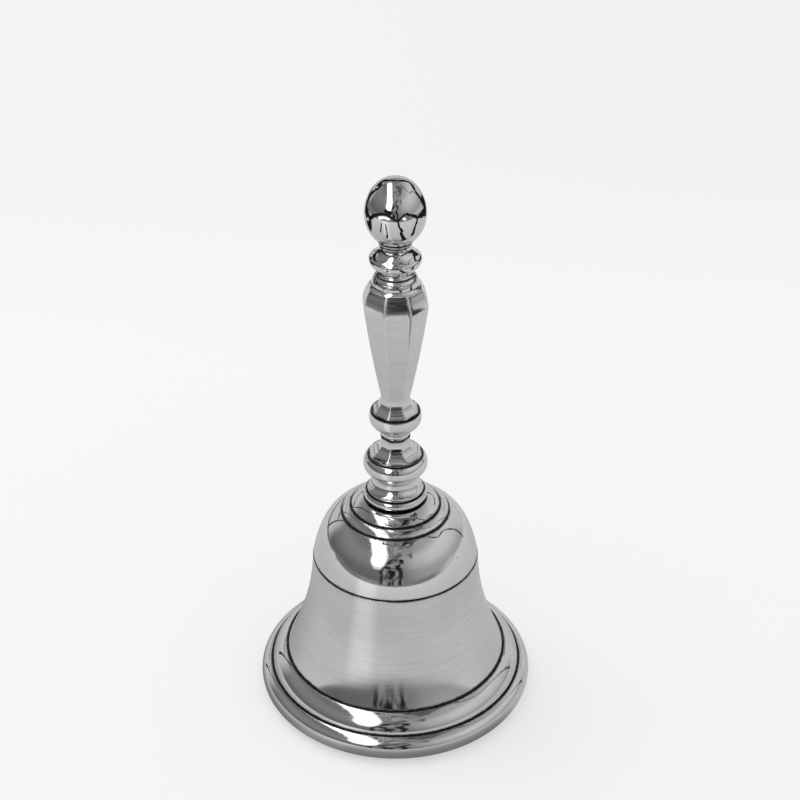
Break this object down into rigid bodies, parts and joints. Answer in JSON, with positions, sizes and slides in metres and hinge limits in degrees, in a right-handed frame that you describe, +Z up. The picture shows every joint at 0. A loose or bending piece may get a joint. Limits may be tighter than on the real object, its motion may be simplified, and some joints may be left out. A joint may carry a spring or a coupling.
{
  "type": "hand bell",
  "caption": "Hand-rung table bell: flared bell with stepped rim and crown, eight-sided baluster handle, egg-shaped finial and a swivelling clapper.",
  "frame": {"origin": "centre of the bell's mouth, on the surface that it stands on", "axes": "+Z up along the bell's axis towards the finial; +X and +Y square to two of the grip's flats, with the clapper's pin along Y at rest"},
  "size_m": [0.0566, 0.0566, 0.1177],
  "materials": {
    "shell_silver": "polished",
    "handle_silver": "polished",
    "grip_silver": "satin",
    "finial_silver": "polished",
    "bare_brass": "satin",
    "clapper_brass": "polished",
    "steel": "satin"
  },
  "bodies": {
    "bell": {"bell_shell": "shell_silver", "foot_ring": "handle_silver", "spool": "handle_silver", "knop_bead": "handle_silver", "trumpet": "handle_silver", "neck_ring": "handle_silver", "grip_bead": "handle_silver", "grip": "grip_silver", "cap_ring": "handle_silver", "finial_collar": "handle_silver", "finial_ring": "handle_silver", "finial_ball": "finial_silver", "tie_rod": "steel", "crown_washer": "bare_brass", "crown_nut": "bare_brass", "yoke_nut": "bare_brass"},
    "yoke": {"swivel_yoke": "bare_brass", "clapper_pin": "steel"},
    "clapper": {"clapper_rod": "bare_brass", "clapper_ball": "clapper_brass"}
  },
  "joints": [
    {"name": "yoke_turn", "type": "hinge", "parent": "bell", "child": "yoke", "pos_m": [0, 0, 0.0401], "axis": [0, 0, 1], "continuous": true},
    {"name": "clapper_swing", "type": "hinge", "parent": "yoke", "child": "clapper", "pos_m": [0, 0, 0.0358], "axis": [0, 1, 0], "range_deg": [-32, 32]}
  ]
}
